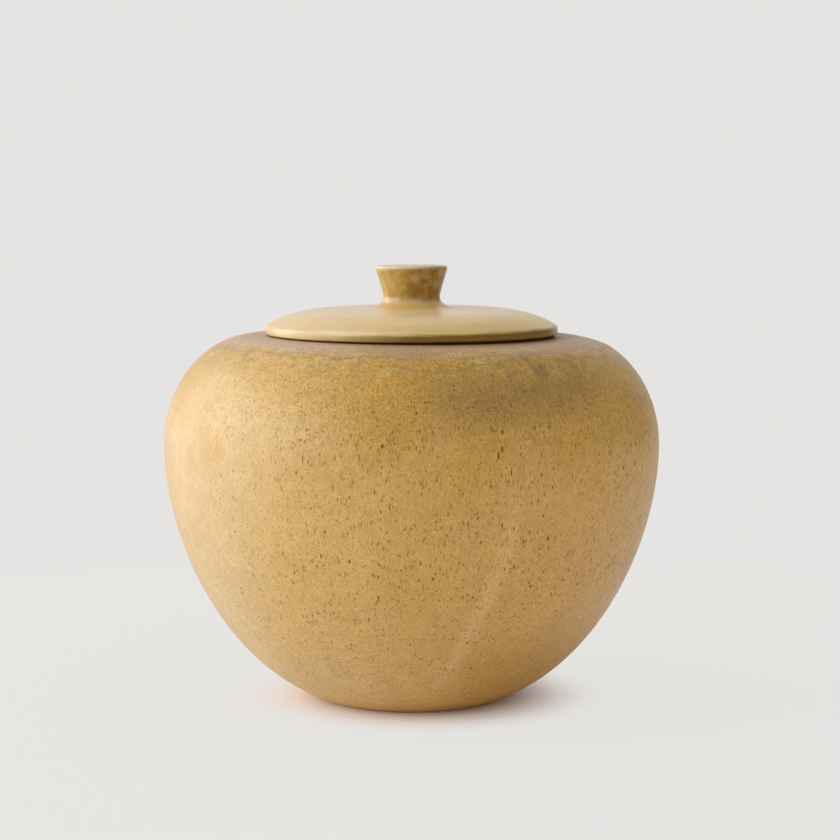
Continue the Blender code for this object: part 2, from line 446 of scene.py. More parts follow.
def outer_wall():
    """The shoulder and the flank, two cubic curves that meet upright at the belly's widest place."""
    shoulder_pull = SHOULDER_PULL_SHARE * (BELLY_RADIUS - SHOULDER_RADIUS)
    belly_rise = BELLY_RISE_SHARE * (SHOULDER_HEIGHT - BELLY_HEIGHT)
    belly_drop = BELLY_DROP_SHARE * BELLY_HEIGHT
    foot_pull = FOOT_PULL_SHARE * (BELLY_RADIUS - FOOT_RADIUS)
    shoulder = bezier(
        (SHOULDER_RADIUS, SHOULDER_HEIGHT),
        (SHOULDER_RADIUS + shoulder_pull, SHOULDER_HEIGHT),
        (BELLY_RADIUS, BELLY_HEIGHT + belly_rise),
        (BELLY_RADIUS, BELLY_HEIGHT),
        WALL_STEPS,
    )
    flank = bezier(
        (BELLY_RADIUS, BELLY_HEIGHT),
        (BELLY_RADIUS, BELLY_HEIGHT - belly_drop),
        np.array([FOOT_RADIUS, 0]) + foot_pull * downhill(-FOOT_ANGLE),
        (FOOT_RADIUS, 0),
        FLANK_STEPS,
    )
    return np.vstack([shoulder, flank[1:]])


def inner_wall():
    """The outer wall moved in by the wall's thickness, then eased into the level floor by a hyperbola."""
    outside = outer_wall()
    along = np.gradient(outside, axis=0)
    along /= np.linalg.norm(along, axis=1)[:, None]
    inwards = np.stack([along[:, 1], -along[:, 0]], axis=1)
    radius, height = (outside + WALL * inwards).T
    floor = FOOT_RECESS + FLOOR
    height = (height + floor + np.hypot(height - floor, FLOOR_ROUND)) / 2
    return np.stack([radius, height], axis=1)[::-1]


def body_stretches():
    """The body's outline from mid-floor up over the rim and down to mid-foot, a stretch for each finish."""
    underside = SHOULDER_HEIGHT - WALL
    collar_edge = COLLAR_RISE - APRON_RISE
    inside = inner_wall()
    floor = line((0, inside[0, 1]), inside[0], FLOOR_STEPS)
    neck = arc((MOUTH_RADIUS + MOUTH_ROUND, underside + MOUTH_ROUND), MOUTH_ROUND, 270, 180)
    lip = arc((MOUTH_RADIUS + MOUTH_ROUND, LAND_HEIGHT - MOUTH_ROUND), MOUTH_ROUND, 180, 90)
    edge = arc((COLLAR_RADIUS - collar_edge, LAND_HEIGHT - collar_edge), collar_edge, 90, 0)
    share = np.linspace(1, 0, ROUND_STEPS)[1:-1]
    apron_radius = SHOULDER_RADIUS - share * (SHOULDER_RADIUS - COLLAR_RADIUS)
    apron = np.stack([apron_radius, SHOULDER_HEIGHT + APRON_RISE * share**2], axis=1)
    wall = outer_wall()
    wall = wall[wall[:, 1] > FOOT_ROUND]
    ring_inside = FOOT_RADIUS - FOOT_RING_WIDTH
    foot = (FOOT_RADIUS, 0)
    foot_edge = bezier(wall[-1], foot, foot, (FOOT_RADIUS - FOOT_ROUND, 0), ROUND_STEPS)
    step = line((ring_inside, 0), (ring_inside - FOOT_RECESS, FOOT_RECESS), ROUND_STEPS)
    recess = line(step[-1], (0, FOOT_RECESS), FLOOR_STEPS)
    return [
        ("liner", np.vstack([floor, inside[1:], neck, lip])),
        ("clay", edge[:1]),
        ("glaze", np.vstack([edge[1:], apron, wall])),
        ("clay", np.vstack([foot_edge[1:], step, recess[1:]])),
    ]


def lid_stretches():
    """The lid's outline from its hidden seat over the dome and back under it, a stretch for each finish."""
    fillet_end = KNOB_FOOT_RADIUS + SEAT_FILLET
    ridge_radius = LID_RADIUS - RIDGE_INSET
    dome_span = ridge_radius - fillet_end
    outwards = downhill(RIDGE_ANGLE)
    ridge = np.array([ridge_radius, RIDGE_HEIGHT])
    joint = np.array([KNOB_FOOT_RADIUS, JOINT_HEIGHT])
    seat_edge = joint - JOINT_DEPTH
    fillet = bezier(
        joint,
        joint + FILLET_START_SHARE * SEAT_FILLET * downhill(FILLET_ANGLE),
        (fillet_end - FILLET_END_SHARE * SEAT_FILLET, CROWN_HEIGHT),
        (fillet_end, CROWN_HEIGHT),
        FILLET_STEPS,
    )
    dome = bezier(
        (fillet_end, CROWN_HEIGHT),
        (fillet_end + DOME_PULL_SHARE * dome_span, CROWN_HEIGHT),
        ridge - RIDGE_PULL_SHARE * dome_span * outwards,
        ridge,
        DOME_STEPS,
    )
    band = bezier(
        ridge,
        ridge + RIDGE_INSET * outwards,
        (LID_RADIUS, LID_HEIGHT + LID_BAND + RIDGE_INSET),
        (LID_RADIUS, LID_HEIGHT + LID_BAND),
        CURVE_STEPS,
    )
    edge = arc((LID_RADIUS - LID_EDGE_ROUND, LID_HEIGHT + LID_EDGE_ROUND), LID_EDGE_ROUND, 0, -90)
    tip_round = FLANGE_WALL / 2
    tip_radius = FLANGE_RADIUS - FLANGE_TAPER - tip_round
    tip = arc((tip_radius, LID_LOW.z + tip_round), tip_round, 0, -180, CURVE_STEPS)
    inside = FLANGE_RADIUS - FLANGE_WALL
    hollow_height = CROWN_HEIGHT - LID_WALL
    hollow = bezier(
        (inside, LID_HEIGHT),
        (inside, LID_HEIGHT + HOLLOW_PULL_SHARE * (hollow_height - LID_HEIGHT)),
        ((1 - HOLLOW_PULL_SHARE) * inside, hollow_height),
        (0, hollow_height),
        WALL_STEPS,
    )
    return [
        ("glaze", np.vstack([[(0, seat_edge[1])], [seat_edge], fillet, dome[1:], band[1:], edge])),
        ("clay", np.vstack([[(FLANGE_RADIUS, LID_HEIGHT)], tip, hollow[:1]])),
        ("liner", hollow[1:]),
    ]


def knob_stretches():
    """The knob's outline from its dished top over the lip, down the cone and out along the flare."""
    lip_centre = (KNOB_RADIUS - KNOB_LIP_ROUND, KNOB_HEIGHT - KNOB_LIP_ROUND)
    rim = np.array([lip_centre[0], KNOB_HEIGHT])
    dish_height = KNOB_HEIGHT - KNOB_DISH
    before_rim = rim - (KNOB_DISH_PULL, 0)
    dish = bezier((0, dish_height), (rim[0] / 2, dish_height), before_rim, rim, FILLET_STEPS)
    lip = arc(lip_centre, KNOB_LIP_ROUND, 90, KNOB_LIP_TUCK, CURVE_STEPS)
    neck = np.array([KNOB_NECK_RADIUS, JOINT_HEIGHT + KNOB_NECK_HEIGHT])
    joint = np.array([KNOB_FOOT_RADIUS, JOINT_HEIGHT])
    above_neck = np.array([0, NECK_PULL_SHARE * (lip[-1, 1] - neck[1])])
    below_neck = np.array([0, FLARE_START_SHARE * KNOB_NECK_HEIGHT])
    uphill = -FLARE_END_SHARE * KNOB_NECK_HEIGHT * downhill(FILLET_ANGLE)
    cone = bezier(lip[-1], lip[-1], neck + above_neck, neck, CONE_STEPS)
    flare = bezier(neck, neck - below_neck, joint + uphill, joint, CURVE_STEPS)
    return [("glaze", np.vstack([dish, lip[1:], cone[1:], flare[1:], [(0, JOINT_HEIGHT)]]))]


def body_marks(turn, radius, height, along, kind):
    """Depths below the body's outline.

    Inside, a wave of the length along the wall climbs one pitch a turn, as fingers leave it. Outside, a
    faint wave sways round the belly, two waves a turn make it slightly oval, and one wave a turn leans the
    shoulder down to the right. Under the foot, a wave of the length stands for the trimming tool. Each
    fades out before the rims.
    """
    below_rim = SHOULDER_HEIGHT - height
    recess = FOOT_RADIUS - FOOT_RING_WIDTH - FOOT_RECESS
    thrown = THROWING_DEPTH * wave(along / THROWING_PITCH + turn)
    thrown = thrown * ease(radius, 0, THROWING_PITCH) * ease(below_rim, WALL, THROWING_START)
    ripple = RIPPLE_DEPTH * wave(along / RIPPLE_PITCH + RIPPLE_SWAY * np.sin(math.tau * turn))
    outside = ripple + OVAL_DEPTH * wave(2 * turn)
    outside = outside * ease(height, 0, FLOOR) * ease(below_rim, 0, WALL)
    lean = LEAN_DEPTH * wave(turn + 0.5)
    lean = lean * ease(-below_rim, -WALL, 0) * ease(radius, COLLAR_RADIUS, LID_RADIUS)
    tooled = TOOL_DEPTH * wave(along / TOOL_PITCH + turn)
    tooled = tooled * ease(radius, 0, TOOL_PITCH) * ease(recess - radius, 0, TOOL_PITCH)
    return np.select([kind == "liner", kind == "glaze"], [thrown, outside + lean], tooled)


def lid_marks(turn, radius, height, along, kind):
    """Depths below the lid's outline.

    Faint rings on the dome are a wave of the length along it that sways once round the lid. One small dent
    is a bell curve of the distance from a place on the ridge.
    """
    fillet_end = KNOB_FOOT_RADIUS + SEAT_FILLET
    rings = DOME_RING_DEPTH * wave(along / DOME_RING_PITCH + RIPPLE_SWAY * np.sin(math.tau * turn))
    rings = rings * ease(radius, fillet_end - LID_EDGE, fillet_end)
    rings = rings * ease(height, RIDGE_HEIGHT, CROWN_HEIGHT)
    round_edge = math.tau * LID_RADIUS * ((turn - DENT_TURN + 0.5) % 1 - 0.5)
    off_ridge = np.hypot(radius - LID_RADIUS, height - RIDGE_HEIGHT)
    dent = DENT_DEPTH * bump(np.hypot(round_edge, off_ridge), DENT_WIDTH)
    return np.where(kind == "glaze", rings + dent, 0)


def knob_marks(turn, radius, height, along, kind):
    """Depths below the knob's outline.

    A crease where the lip turns in is a bell curve of the height. Faint rings down the cone are a wave of
    the length that climbs one pitch a turn.
    """
    crease_height = KNOB_HEIGHT - KNOB_LIP_ROUND * (1 - math.sin(math.radians(KNOB_LIP_TUCK)))
    crease = CREASE_DEPTH * bump(height - crease_height, CREASE_WIDTH)
    rings = CONE_RING_DEPTH * wave(along / CONE_RING_PITCH + turn)
    rings = rings * ease(crease_height - height, 0, KNOB_LIP_ROUND)
    rings = rings * ease(height, JOINT_HEIGHT, JOINT_HEIGHT + KNOB_NECK_HEIGHT)
    return crease + rings


def turned(name, stretches, turns, marks, finishes, body, node, slot):
    """One closed surface turned round Z, which rides on a body and stands for a node.

    Point (i, j) is the outline's point i, moved in along the outline's normal by the depth that marks gives
    for it, and carried round the axis by j of the steps. The first and last points lie on the axis and
    close the surface as poles.
    """
    outline = np.vstack([points for _, points in stretches])
    kind = np.concatenate([np.full(len(points), finish) for finish, points in stretches])
    step = np.gradient(outline, axis=0)
    step /= np.linalg.norm(step, axis=1)[:, None]
    spans = np.linalg.norm(np.diff(outline, axis=0), axis=1)
    along = np.concatenate([[0], np.cumsum(spans)])
    turn = np.arange(turns)[None] / turns
    radius, height = outline.T[:, :, None]
    depth = marks(turn, radius, height, along[:, None], kind[:, None])
    radius = radius + depth * step[:, 1:]
    height = height - depth * step[:, :1]
    angle = math.tau * turn
    grid = np.stack([radius * np.cos(angle), radius * np.sin(angle), height + 0 * angle], axis=-1)
    poles = np.insert(outline[[0, -1]], 1, 0, axis=1)
    points = np.vstack([poles[:1], grid[1:-1].reshape(-1, 3), poles[1:]])

    corner = 1 + np.arange(len(points) - 2).reshape(-1, turns)
    beside = np.roll(corner, -1, axis=1)
    first = np.stack([0 * corner[0], corner[0], beside[0]], axis=-1)
    quads = np.stack([corner[:-1], corner[1:], beside[1:], beside[:-1]], axis=-1).reshape(-1, 4)
    last = np.stack([corner[-1], 0 * corner[-1] + len(points) - 1, beside[-1]], axis=-1)
    mesh = bpy.data.meshes.new(name)
    mesh.from_pydata(points.tolist(), [], first.tolist() + quads.tolist() + last.tolist())
    kinds = list(finishes)
    for material in finishes.values():
        mesh.materials.append(material)
    finish = np.array([kinds.index(each) for each in kind[1:]])
    mesh.polygons.foreach_set("material_index", np.repeat(finish, turns).astype(np.int32))
    mesh.shade_smooth()
    mesh.set_sharp_from_angle(angle=math.radians(SHARP_ANGLE))

    piece = bpy.data.objects.new(name, mesh)
    bpy.context.scene.collection.objects.link(piece)
    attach(piece, body)
    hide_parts(node)


def linear(colour):
    """An sRGB hex colour as linear RGBA, by the sRGB curve."""
    shares = [int(colour[i : i + 2], 16) / 255 for i in (0, 2, 4)]
    curve = [((share + 0.055) / 1.055) ** 2.4 if share > 0.04045 else share / 12.92 for share in shares]
    return curve + [1]


def add(tree, kind, inputs=None, **settings):
    """Adds a node with its settings, fills its inputs with values or other outputs, and gives its own.

    Inputs go by name, or by number where names are long or repeat: a Map Range's 1 to 4 are the span that
    it reads and the one that it gives, and a Mix's 6 and 7 are its colours.
    """
    item = tree.nodes.new("ShaderNode" + kind)
    for name, value in settings.items():
        setattr(item, name, value)
    for key, value in (inputs or {}).items():
        if isinstance(value, bpy.types.NodeSocket):
            tree.links.new(value, item.inputs[key])
        else:
            item.inputs[key].default_value = value
    return item.outputs


def blank(name, roughness):
    """A material with one Principled shader, and its place on the piece in millimetres."""
    material = bpy.data.materials.new(name)
    material.use_nodes = True
    tree = material.node_tree
    shader = tree.nodes["Principled BSDF"]
    shader.inputs["Roughness"].default_value = roughness
    shader.inputs["IOR"].default_value = GLAZE_IOR
    place = add(tree, "TexCoord")["Object"]
    place = add(tree, "VectorMath", {0: place, "Scale": 1 / MM}, operation="SCALE")[0]
    return material, tree, shader, place


def region(tree, most, *spans):
    """How strongly a patch shows: most, times how far each value has gone along its own span, eased."""
    share = most
    for value, (start, end) in spans:
        gone = add(tree, "MapRange", {"Value": value, 1: start, 2: end}, interpolation_type="SMOOTHSTEP")[0]
        share = add(tree, "Math", {0: share, 1: gone}, operation="MULTIPLY")[0]
    return share


def graded(tree, strength, *fades):
    """A strength, times a factor for each value that goes evenly from first to last as its fade says."""
    for value, (start, end, first, last) in fades:
        factor = add(tree, "MapRange", {"Value": value, 1: start, 2: end, 3: first, 4: last})[0]
        strength = add(tree, "Math", {0: strength, 1: factor}, operation="MULTIPLY")[0]
    return strength


def mottle(tree, place, size, low, high, detail=SOFT_DETAIL):
    """Soft noise with patches of about the given size, spread between two values."""
    noise = add(tree, "TexNoise", {"Vector": place, "Scale": 1 / size, "Detail": detail})["Fac"]
    return graded(tree, 1, (noise, (*NOISE_SPAN, low, high)))


def specks(tree, place, dots, room, strength):
    """Dots scattered one to a cell, each of its own radius and strength.

    Small radii are drawn more often than large ones. The radius is also multiplied by room, so that dots
    thin out where room is small.
    """
    spacing, least, greatest = dots
    cells = add(tree, "TexVoronoi", {"Vector": place, "Scale": 1 / spacing})
    draws = add(tree, "SeparateColor", {0: cells["Color"]})
    rare = add(tree, "Math", {0: draws["Red"], 1: DOT_RARITY}, operation="POWER")[0]
    radius = graded(tree, room, (rare, (0, 1, least / spacing, greatest / spacing)))
    reach = add(tree, "Math", {0: cells["Distance"], 1: radius}, operation="DIVIDE")[0]
    return region(tree, graded(tree, strength, (draws["Green"], DOT_FADE)), (reach, DOT_SPAN))


def smear(tree, place, start, end, half_width, strength):
    """A soft stripe between two places, in the plane that they share with the axis at their height."""
    start, end = np.array(start), np.array(end)
    middle = (start + end) / 2
    axis_point = np.array([0, 0, middle[2]])
    across = np.cross(start - axis_point, end - axis_point)
    across /= np.linalg.norm(across)
    reach = np.linalg.norm(end - start) / 2
    from_axis = add(tree, "VectorMath", {0: place, 1: axis_point}, operation="SUBTRACT")[0]
    aside = add(tree, "VectorMath", {0: from_axis, 1: across}, operation="DOT_PRODUCT")["Value"]
    aside = add(tree, "Math", {0: aside}, operation="ABSOLUTE")[0]
    away = add(tree, "VectorMath", {0: place, 1: middle}, operation="DISTANCE")["Value"]
    ends = (SMEAR_END_SHARE * reach, SMEAR_FULL_SHARE * reach)
    return region(tree, strength, (aside, (half_width, 0)), (away, ends))


def laid_over(tree, colour, stains):
    """A colour with each stain laid over it in turn, as strongly as its share."""
    for share, stain in stains:
        colour = add(tree, "Mix", {0: share, 6: colour, 7: stain}, data_type="RGBA")[2]
    return colour


def toned(tree, colour, tones):
    """A colour made softly lighter and darker: each tone has a place, a patch size and a swing about 1."""
    for place, (size, swing) in tones:
        tone = mottle(tree, place, size, 1 - swing, 1 + swing)
        colour = add(tree, "VectorMath", {0: colour, "Scale": tone}, operation="SCALE")[0]
    return colour


def around(tree, place):
    """What a place says: its three axes, its distance from the turning axis, and its fall."""
    x, y, height = add(tree, "SeparateXYZ", {0: place})
    flat = add(tree, "CombineXYZ", {"X": x, "Y": y})[0]
    radius = add(tree, "VectorMath", {0: flat}, operation="LENGTH")["Value"]
    fall = add(tree, "Math", {0: radius, 1: height}, operation="SUBTRACT")[0]
    return SimpleNamespace(place=place, x=x, y=y, height=height, flat=flat, radius=radius, fall=fall)


def ringed(tree, flat, share, along):
    """A place that changes along the outline and hardly round the axis, so that patterns lie in rings."""
    round_axis = add(tree, "VectorMath", {0: flat, "Scale": share}, operation="SCALE")[0]
    up = add(tree, "CombineXYZ", {"Z": along})[0]
    return add(tree, "VectorMath", {0: round_axis, 1: up}, operation="ADD")[0]


def roughen(tree, shader, skin, depth):
    """Raises the shader's surface by a pattern, by up to a depth in metres."""
    relief = add(tree, "Bump", {"Height": skin, "Distance": depth, "Strength": 1})[0]
    tree.links.new(relief, shader.inputs["Normal"])


def body_places(tree, place):
    """What around gives for the body, with the places that its patterns read.

    Clouds shift the edges of colours, and frayed places tremble. Patterns are low and wide on squat places,
    and high and narrow on tall ones. The run and long_run places draw specks out downwards. Aside is x,
    shifted on behind the jar so that what it fades stays at the front left, and slant takes a share of the
    height from it.
    """
    at = around(tree, place)
    at.clouds = mottle(tree, place, CLOUD_SIZE, -CLOUD_SHIFT, CLOUD_SHIFT)
    at.squat = add(tree, "VectorMath", {0: place, 1: SQUAT_SHARES}, operation="MULTIPLY")[0]
    at.tall = add(tree, "VectorMath", {0: place, 1: TALL_SHARES}, operation="MULTIPLY")[0]
    at.rings = ringed(tree, at.flat, BODY_RING_SHARE, at.fall)

    fray = add(tree, "TexNoise", {"Vector": place, "Scale": 1 / FRAY_SIZE, "Detail": PLAIN_DETAIL})["Color"]
    fray = add(tree, "VectorMath", {0: fray, 1: [NOISE_MIDDLE] * 3}, operation="SUBTRACT")[0]
    at.frayed = add(tree, "VectorMath", {0: fray, 1: FRAY_REACH, 2: place}, operation="MULTIPLY_ADD")[0]
    rise = add(tree, "CombineXYZ", {"Z": graded(tree, 1, (at.height, SHORT_SPECK_FADE))})[0]
    drawn_out = (1, 1, 1 / SPECK_STRETCH)
    at.run = add(tree, "VectorMath", {0: at.frayed, 1: drawn_out, 2: rise}, operation="MULTIPLY_ADD")[0]
    drawn_out = (1, 1, 1 / LONG_SPECK_STRETCH)
    at.long_run = add(tree, "VectorMath", {0: at.frayed, 1: drawn_out}, operation="MULTIPLY")[0]

    at.aside = add(tree, "Math", {0: at.x, 1: region(tree, BACK_SHIFT, (at.y, BACK_SPAN))})[0]
    slant = {0: at.height, 1: SLANT_SHARE, 2: at.aside}
    at.slant = add(tree, "Math", slant, operation="MULTIPLY_ADD")[0]
    # dull glaze at the right of the foot, also used there for painted shade
    at.dry = region(tree, 1, (at.height, DULL_SHADE_HEIGHT_SPAN), (at.x, DULL_SHADE_SIDE_SPAN))
    return at


def ochre_ground(tree, at):
    """Ochre above and tan below, paler at the left by a painted sheen, and darker by painted shade.

    The patch by the right shoulder is deeper partly in the glaze and partly by painted shade, and painted
    shade darkens the right of the foot.
    """
    clouded = add(tree, "Math", {0: at.height, 1: at.clouds})[0]
    across = add(tree, "Math", {0: at.x, 1: at.clouds})[0]
    tan = region(tree, 1, (clouded, TAN_SPAN))
    # painted sheen: paler, then greyer, at the front left
    side = region(tree, PAINTED_SHEEN_SHARE, (across, PAINTED_SHEEN_SPAN), (at.x, PAINTED_SHEEN_EDGE_SPAN))
    front_left = ((at.x, PAINTED_SHEEN_GREY_SPAN), (clouded, PAINTED_SHEEN_GREY_HEIGHT_SPAN), (at.y, PAINTED_SHEEN_GREY_FRONT_SPAN))
    painted_grey_sheen = region(tree, PAINTED_SHEEN_GREY_SHARE, *front_left)
    # deeper by the right shoulder: partly the glaze, partly painted shade
    deep = smear(tree, at.place, *DEEP_AND_SHADED_SMEAR)
    foot = region(tree, FOOT_OLIVE_SHARE, (at.height, FOOT_SPAN))
    # painted shade at the right of the foot
    dark = add(tree, "Math", {0: at.dry, 1: PAINTED_FOOT_SHADE_SHARE}, operation="MULTIPLY")[0]
    pale_run = smear(tree, at.frayed, *RUN_SMEAR)
    stains = [
        (tan, linear(TAN)),
        (side, linear(PAINTED_SHEEN_PALE)),
        (painted_grey_sheen, linear(PAINTED_SHEEN_GREY)),
        (deep, linear(DEEP_OCHRE)),
        (foot, linear(FOOT_OLIVE)),
        (dark, linear(DEEP_OCHRE)),
        (pale_run, linear(PALE_RUN)),
    ]
    return laid_over(tree, linear(OCHRE), stains)


def thin_crown(tree, at, colour):
    """Mossy and umber patches near the shoulder, and the thin brown-mauve glaze round the mouth.

    The thin glaze carries a painted sheen at the left and ends in an umber drip line. Painted shade darkens
    the ring that the lid covers, most at the right, and two short smudges run down at the right of the
    mouth.
    """
    drips = mottle(tree, at.squat, DRIP_SIZE, -DRIP_REACH, DRIP_REACH, RAGGED_DETAIL)
    drips = add(tree, "Math", {0: drips, 1: at.fall})[0]
    moss = mottle(tree, at.squat, MOSS_SIZE, 0, 1)
    moss = region(tree, MOSS_SHARE, (moss, MOSS_SPAN), (drips, GATHERED_SPAN))
    umber = mottle(tree, at.squat, UMBER_SIZE, 0, 1, RICH_DETAIL)
    umber = region(tree, UMBER_SHARE, (umber, UMBER_SPAN), (drips, GATHERED_SPAN))

    streaks = mottle(tree, at.rings, STREAK_SIZE, 0, 1, FINE_DETAIL)
    # painted sheen: the crown's thin glaze paler at the left
    painted_crown_sheen = region(tree, CROWN_SHEEN_SHARE, (at.x, CROWN_SHEEN_SPAN))
    paler = [(streaks, linear(MAUVE_PALE)), (painted_crown_sheen, linear(PAINTED_CROWN_SHEEN))]
    thin = laid_over(tree, linear(MAUVE), paler)
    crown = mottle(tree, at.rings, CROWN_STREAK_SIZE, 0, CROWN_STREAK_SHARE, FINE_DETAIL)
    crown = add(tree, "Math", {0: region(tree, CROWN_SHARE, (drips, CROWN_SPAN)), 1: crown})[0]
    crown = region(tree, crown, (drips, CROWN_EDGE_SPAN))
    off_line = add(tree, "Math", {0: drips, 1: DRIP_LINE_FALL}, operation="SUBTRACT")[0]
    off_line = add(tree, "Math", {0: off_line}, operation="ABSOLUTE")[0]
    drip_line = region(tree, DRIP_LINE_SHARE, (off_line, DRIP_LINE_SPAN))

    # painted shade in the ring under the lid's edge, fading towards the left
    painted_lid_shade = region(tree, LID_SHADE_SHARE, (at.fall, LID_SHADE_OUTER_SPAN), (at.fall, LID_SHADE_INNER_SPAN))
    painted_lid_shade = graded(tree, painted_lid_shade, (at.x, LID_SHADE_FADE))
    stains = [
        (moss, linear(MOSS)),
        (umber, linear(UMBER)),
        (crown, thin),
        (drip_line, linear(UMBER)),
        (painted_lid_shade, linear(PAINTED_LID_SHADE)),
    ]
    stains += [(smear(tree, at.frayed, *each), linear(SMUDGE)) for each in SMUDGE_SMEARS]
    return laid_over(tree, colour, stains)


def grained(tree, at, colour):
    """Soft tones, then a fine grain, calm at the front left and lively on the shoulder, and dark curls.

    The curls lie where a noise crosses its middle, and show on the shoulder.
    """
    colour = toned(tree, colour, [(at.place, CLOUD_TONE), (at.place, PATCH_TONE), (at.tall, FLECK_TONE)])
    swing = graded(tree, 1, (at.slant, CALM_FADE), (at.fall, LIVELY_FADE))
    grain = mottle(tree, at.tall, GRAIN_SIZE, -GRAIN_SWING, GRAIN_SWING, PLAIN_DETAIL)
    grain = add(tree, "Math", {0: grain, 1: swing, 2: 1}, operation="MULTIPLY_ADD")[0]
    colour = add(tree, "VectorMath", {0: colour, "Scale": grain}, operation="SCALE")[0]
    curls = add(tree, "TexNoise", {"Vector": at.run, "Scale": 1 / CURL_SIZE, "Detail": PLAIN_DETAIL})["Fac"]
    curls = add(tree, "Math", {0: curls, 1: NOISE_MIDDLE}, operation="SUBTRACT")[0]
    curls = add(tree, "Math", {0: curls}, operation="ABSOLUTE")[0]
    curls = region(tree, CURL_SHARE, (curls, CURL_SPAN), (at.height, CURL_HEIGHT_SPAN))
    return laid_over(tree, colour, [(curls, linear(CURL))])


def bled_specks(tree, at):
    """The iron that bled through, softest first: each layer's share and stain.

    Specks are smaller on the shoulder, fainter towards the foot, and both at the front left.
    """
    room = mottle(tree, at.place, CROWD_SIZE, SPARSE_SHARE, DENSE_SHARE, PLAIN_DETAIL)
    room = graded(tree, room, (at.fall, SPARSE_TOP_FADE), (at.slant, SPARSE_FLANK_FADE))
    layers = [
        (at.run, BLOOM_DOTS, BLOOM_SHARE, BLOOM),
        (at.run, FRECKLE_DOTS, FRECKLE_SHARE, FRECKLE),
        (at.run, RUST_DOTS, RUST_SHARE, RUST),
        (at.run, IRON_DOTS, 1, IRON),
        (at.long_run, LONG_DOTS, 1, IRON),
    ]
    stains = []
    for place, dots, strength, stain in layers:
        strength = graded(tree, strength, (at.height, FAINT_FOOT_FADE), (at.aside, FAINT_FLANK_FADE))
        stains.append((specks(tree, place, dots, room, strength), linear(stain)))
    return stains


def speckled_glaze():
    """Satin iron glaze over an iron-bearing stoneware, poured and fired in reduction.

    The eye sees an even ochre, clouded with tan, that ran a little: iron from the clay has bled through as
    dark specks drawn out downwards and as softer rusty freckles. A painted sheen makes it paler at the
    front left. It is thin and mauve round the mouth, with painted shade in the ring under the lid, and at
    the right of the foot it is dull and darkened by painted shade. The specks are matt and dull the gloss.
    """
    material, tree, shader, place = blank("speckled_iron_glaze", SATIN_ROUGHNESS)
    at = body_places(tree, place)
    colour = thin_crown(tree, at, ochre_ground(tree, at))
    specked = bled_specks(tree, at)
    colour = laid_over(tree, grained(tree, at, colour), specked)
    gloss = laid_over(tree, linear(WHITE), [(at.dry, linear(FOOT_OLIVE)), *specked])
    coat = graded(tree, gloss, (at.dry, COAT_DRY_FADE), (at.fall, COAT_WORN_FADE))

    tree.links.new(colour, shader.inputs["Base Color"])
    tree.links.new(gloss, shader.inputs["Specular Tint"])
    tree.links.new(coat, shader.inputs["Coat Weight"])
    shader.inputs["IOR"].default_value = IRON_GLAZE_IOR
    shader.inputs["Coat Roughness"].default_value = COAT_ROUGHNESS
    shader.inputs["Coat IOR"].default_value = GLAZE_IOR
    roughen(tree, shader, mottle(tree, place, BODY_SKIN_SIZE, 0, 1), SKIN_DEPTH)
    return material


def straw_dome(tree, at):
    """Pale straw, greener outwards, and olive on the band where the glaze ran thin.

    Painted shade makes the rim greener and the olive band stronger towards the right. A wavering edge parts
    the band from the dome, lower towards the right, and a pale line follows the ridge: partly glaze that
    broke over it, and a painted highlight that is strongest at the left.
    """
    clouds = mottle(tree, at.place, STRAW_CLOUD_SIZE, 0, 1)
    above_ridge = add(tree, "Math", {0: at.height, 1: RIDGE_HEIGHT / MM}, operation="SUBTRACT")[0]
    waver = mottle(tree, at.bands, RIDGE_WAVER_SIZE, -RIDGE_WAVER, RIDGE_WAVER, FINE_DETAIL)
    edge = add(tree, "Math", {0: above_ridge, 1: waver})[0]
    # painted highlight along the ridge, partly glaze broken over it
    along_ridge = ((edge, RIDGE_HIGHLIGHT_TOP_SPAN), (edge, RIDGE_HIGHLIGHT_FOOT_SPAN), (at.x, RIDGE_HIGHLIGHT_LEFT_SPAN))
    ridge_break_and_highlight = graded(tree, region(tree, 1, *along_ridge), (at.x, RIDGE_HIGHLIGHT_FADE))
    # greener outwards, and towards the right as painted shade
    greener = region(tree, graded(tree, 1, (at.x, GREEN_FADE)), (at.radius, GREEN_SPAN))
    drop = graded(tree, 1, (at.x, BAND_DROP_FADE))
    edge = add(tree, "Math", {0: edge, 1: drop}, operation="SUBTRACT")[0]
    # olive where the glaze ran thin, strengthened towards the right as painted shade
    thin_band_and_shade = region(tree, graded(tree, 1, (at.x, BAND_FADE)), (edge, BAND_SPAN))
    stains = [
        (clouds, linear(STRAW_WARM)),
        (greener, linear(STRAW_GREEN)),
        (thin_band_and_shade, linear(OLIVE)),
        (ridge_break_and_highlight, linear(RIDGE_BREAK_HIGHLIGHT)),
    ]
    return laid_over(tree, linear(STRAW), stains)


